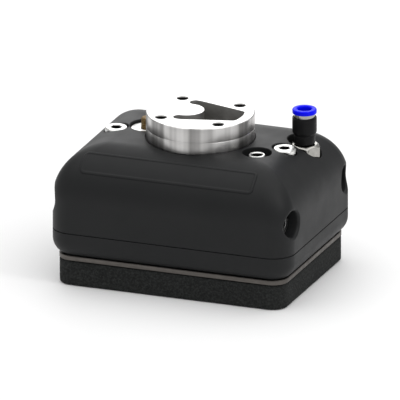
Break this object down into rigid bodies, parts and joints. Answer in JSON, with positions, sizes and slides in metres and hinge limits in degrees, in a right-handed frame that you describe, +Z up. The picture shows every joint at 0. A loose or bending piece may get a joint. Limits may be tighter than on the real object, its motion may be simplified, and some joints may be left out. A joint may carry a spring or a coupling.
{
  "type": "pneumatic vacuum area gripper",
  "caption": "Pneumatic vacuum area gripper: a foam suction pad under a rounded black housing with a round tool flange and a push-in air fitting on top.",
  "frame": {"origin": "centre of the foam pad's lower, gripping face", "axes": "+X along the long side towards the air fitting, +Y towards the rear, +Z up through the tool flange"},
  "size_m": [0.149, 0.112, 0.1001],
  "materials": {
    "foam": "closed-cell foam rubber, matt",
    "housing": "fine matt moulded plastic",
    "inner_plastic": "matt",
    "aluminium": "turned and face-milled",
    "plate": "sawn and deburred edge",
    "steel": "satin",
    "nickel": "nickel-plated, bright",
    "fitting_plastic": "glass-filled plastic, satin",
    "collar": "semi-gloss",
    "bronze": "sintered, porous",
    "rubber": "matt"
  },
  "bodies": {
    "gripper": {"foam_pad": "foam", "valve_plate": "plate", "plate_seal": "rubber", "lower_tray": "housing", "filter_mesh": "steel", "chamber_lid": "inner_plastic", "bridge_plate": "aluminium", "tool_flange": "aluminium", "upper_shell": "housing", "top_screw_left": "steel", "top_screw_right": "steel", "ejector_body": "inner_plastic", "ejector_nozzle": "nickel", "ejector_diffuser": "nickel", "suction_duct": "inner_plastic", "manifold_block": "aluminium", "fitting_base": "nickel", "sensor_port": "nickel", "sensor_insert": "fitting_plastic", "vent_cap": "steel", "vent_silencer": "bronze", "pillar_front_left": "aluminium", "pillar_screw_front_left": "steel", "flange_screw_front_left": "steel", "side_screw_front_left": "steel", "cover_lug_front_left": "aluminium", "pillar_front_right": "aluminium", "pillar_screw_front_right": "steel", "flange_screw_front_right": "steel", "side_screw_front_right": "steel", "cover_lug_front_right": "aluminium", "pillar_rear_left": "aluminium", "pillar_screw_rear_left": "steel", "flange_screw_rear_left": "steel", "side_screw_rear_left": "steel", "cover_lug_rear_left": "aluminium", "pillar_rear_right": "aluminium", "pillar_screw_rear_right": "steel", "flange_screw_rear_right": "steel", "side_screw_rear_right": "steel", "cover_lug_rear_right": "aluminium"},
    "check_valve_1": {"valve_disc_1": "rubber"},
    "check_valve_2": {"valve_disc_2": "rubber"},
    "check_valve_3": {"valve_disc_3": "rubber"},
    "check_valve_4": {"valve_disc_4": "rubber"},
    "check_valve_5": {"valve_disc_5": "rubber"},
    "check_valve_6": {"valve_disc_6": "rubber"},
    "check_valve_7": {"valve_disc_7": "rubber"},
    "check_valve_8": {"valve_disc_8": "rubber"},
    "check_valve_9": {"valve_disc_9": "rubber"},
    "check_valve_10": {"valve_disc_10": "rubber"},
    "check_valve_11": {"valve_disc_11": "rubber"},
    "check_valve_12": {"valve_disc_12": "rubber"},
    "fitting_swivel": {"fitting_body": "fitting_plastic", "fitting_seal": "rubber", "fitting_collet": "steel", "fitting_band": "nickel"},
    "release_ring": {"release_ring": "collar"}
  },
  "joints": [
    {"name": "check_valve_1_lift", "type": "slide", "parent": "gripper", "child": "check_valve_1", "axis": [0, 0, 1], "range_m": [0, 0.0016]},
    {"name": "check_valve_2_lift", "type": "slide", "parent": "gripper", "child": "check_valve_2", "axis": [0, 0, 1], "range_m": [0, 0.0016]},
    {"name": "check_valve_3_lift", "type": "slide", "parent": "gripper", "child": "check_valve_3", "axis": [0, 0, 1], "range_m": [0, 0.0016]},
    {"name": "check_valve_4_lift", "type": "slide", "parent": "gripper", "child": "check_valve_4", "axis": [0, 0, 1], "range_m": [0, 0.0016]},
    {"name": "check_valve_5_lift", "type": "slide", "parent": "gripper", "child": "check_valve_5", "axis": [0, 0, 1], "range_m": [0, 0.0016]},
    {"name": "check_valve_6_lift", "type": "slide", "parent": "gripper", "child": "check_valve_6", "axis": [0, 0, 1], "range_m": [0, 0.0016]},
    {"name": "check_valve_7_lift", "type": "slide", "parent": "gripper", "child": "check_valve_7", "axis": [0, 0, 1], "range_m": [0, 0.0016]},
    {"name": "check_valve_8_lift", "type": "slide", "parent": "gripper", "child": "check_valve_8", "axis": [0, 0, 1], "range_m": [0, 0.0016]},
    {"name": "check_valve_9_lift", "type": "slide", "parent": "gripper", "child": "check_valve_9", "axis": [0, 0, 1], "range_m": [0, 0.0016]},
    {"name": "check_valve_10_lift", "type": "slide", "parent": "gripper", "child": "check_valve_10", "axis": [0, 0, 1], "range_m": [0, 0.0016]},
    {"name": "check_valve_11_lift", "type": "slide", "parent": "gripper", "child": "check_valve_11", "axis": [0, 0, 1], "range_m": [0, 0.0016]},
    {"name": "check_valve_12_lift", "type": "slide", "parent": "gripper", "child": "check_valve_12", "axis": [0, 0, 1], "range_m": [0, 0.0016]},
    {"name": "fitting_turn", "type": "hinge", "parent": "gripper", "child": "fitting_swivel", "pos_m": [0.0574, 0.0185, 0.079], "axis": [0, 0, 1], "continuous": true},
    {"name": "release_press", "type": "slide", "parent": "fitting_swivel", "child": "release_ring", "axis": [0, 0, -1], "range_m": [0, 0.001], "stiffness_N_per_m": 300, "springref_m": -0.0005}
  ]
}
